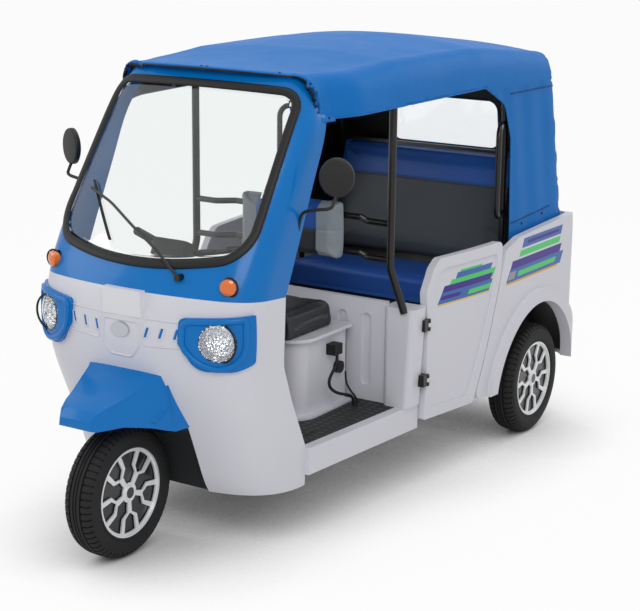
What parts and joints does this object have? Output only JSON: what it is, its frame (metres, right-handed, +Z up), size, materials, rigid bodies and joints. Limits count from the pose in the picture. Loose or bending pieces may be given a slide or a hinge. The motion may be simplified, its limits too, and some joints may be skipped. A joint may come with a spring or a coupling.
{
  "type": "electric auto rickshaw",
  "caption": "Open-sided passenger auto rickshaw with a moulded nose, raked windscreen, steered front wheel, half-height rear doors and a fabric canopy.",
  "frame": {"origin": "on the ground under the centre of the vehicle's box", "axes": "+Z up, the vehicle faces -Y, its left side is +X"},
  "size_m": [1.304, 2.76, 1.7391],
  "materials": {
    "shell_blue": "gloss",
    "shell_white": "gloss",
    "seal_rubber": "satin",
    "clear_glass": "polished",
    "lamp_chrome": "polished",
    "lamp_glass": "polished",
    "amber_lens": "gloss",
    "plate_white": "satin",
    "badge_silver": "satin",
    "grey_plastic": "matte",
    "black_plastic": "satin",
    "black_steel": "gloss",
    "grip_rubber": "matte",
    "tyre": "matte",
    "wheel_silver": "gloss",
    "floor_black": "satin",
    "seat_grey": "satin",
    "seat_blue": "satin",
    "red_lens": "gloss",
    "canopy_fabric": "coated cloth",
    "clear_film": "film",
    "axle_iron": "painted",
    "battery_case": "matte"
  },
  "bodies": {
    "root": {"cowl_upper": "shell_blue", "cowl_lower": "shell_white", "windscreen_seal": "seal_rubber", "windscreen_glass": "clear_glass", "headlamp_bezels": "shell_blue", "headlamp_bowls": "lamp_chrome", "headlamp_lenses": "lamp_glass", "front_turn_lamps": "amber_lens", "number_plate": "plate_white", "front_badge": "badge_silver", "front_fender": "shell_blue", "front_arch_liner": "grey_plastic", "dashboard": "black_plastic", "chassis_frame": "black_steel", "floor_pan": "floor_black", "floor_mat": "grip_rubber", "sills": "shell_white", "driver_seat_box": "shell_white", "driver_cushion": "seat_grey", "driver_backrest": "seat_grey", "partition": "shell_white", "door_post_hoop": "black_steel", "roof_rails": "black_steel", "rear_posts": "black_steel", "rear_quarter_left": "shell_white", "rear_quarter_right": "shell_white", "rear_panel": "shell_white", "wheel_housings": "black_plastic", "door_hinges": "black_steel", "rear_bumper": "black_steel", "tail_lamps": "red_lens", "passenger_cushion": "seat_blue", "passenger_backrest": "seat_grey", "bench_frame": "black_steel", "canopy": "canopy_fabric", "rear_window": "clear_film", "rear_axle": "axle_iron", "rear_suspension": "black_steel", "battery": "battery_case", "mirrors": "black_plastic", "wiper": "black_steel", "charging_socket": "black_plastic"},
    "steering": {"steering_fork": "black_steel", "handlebar": "black_steel", "handlebar_grips": "grip_rubber", "instrument_pod": "black_plastic"},
    "front_wheel": {"front_tyre": "tyre", "front_rim": "wheel_silver"},
    "rear_wheel_left": {"rear_tyre_left": "tyre", "rear_rim_left": "wheel_silver"},
    "rear_wheel_right": {"rear_tyre_right": "tyre", "rear_rim_right": "wheel_silver"},
    "door_left": {"door_left": "shell_white"},
    "door_right": {"door_right": "shell_white"}
  },
  "joints": [
    {"name": "steering", "type": "hinge", "parent": "root", "child": "steering", "pos_m": [0, -1.1435, 0.2365], "axis": [0, 0.4305, 0.9026], "range_deg": [-38, 38]},
    {"name": "front_wheel_spin", "type": "hinge", "parent": "steering", "child": "front_wheel", "pos_m": [0, -1.1435, 0.2365], "axis": [1, 0, 0], "continuous": true},
    {"name": "rear_wheel_left_spin", "type": "hinge", "parent": "root", "child": "rear_wheel_left", "pos_m": [0.549, 0.9295, 0.2365], "axis": [1, 0, 0], "continuous": true},
    {"name": "rear_wheel_right_spin", "type": "hinge", "parent": "root", "child": "rear_wheel_right", "pos_m": [-0.549, 0.9295, 0.2365], "axis": [1, 0, 0], "continuous": true},
    {"name": "door_left_swing", "type": "hinge", "parent": "root", "child": "door_left", "pos_m": [0.564, 0.048, 0.55], "axis": [0, 0, -1], "range_deg": [0, 75]},
    {"name": "door_right_swing", "type": "hinge", "parent": "root", "child": "door_right", "pos_m": [-0.564, 0.048, 0.55], "axis": [0, 0, 1], "range_deg": [0, 75]}
  ]
}
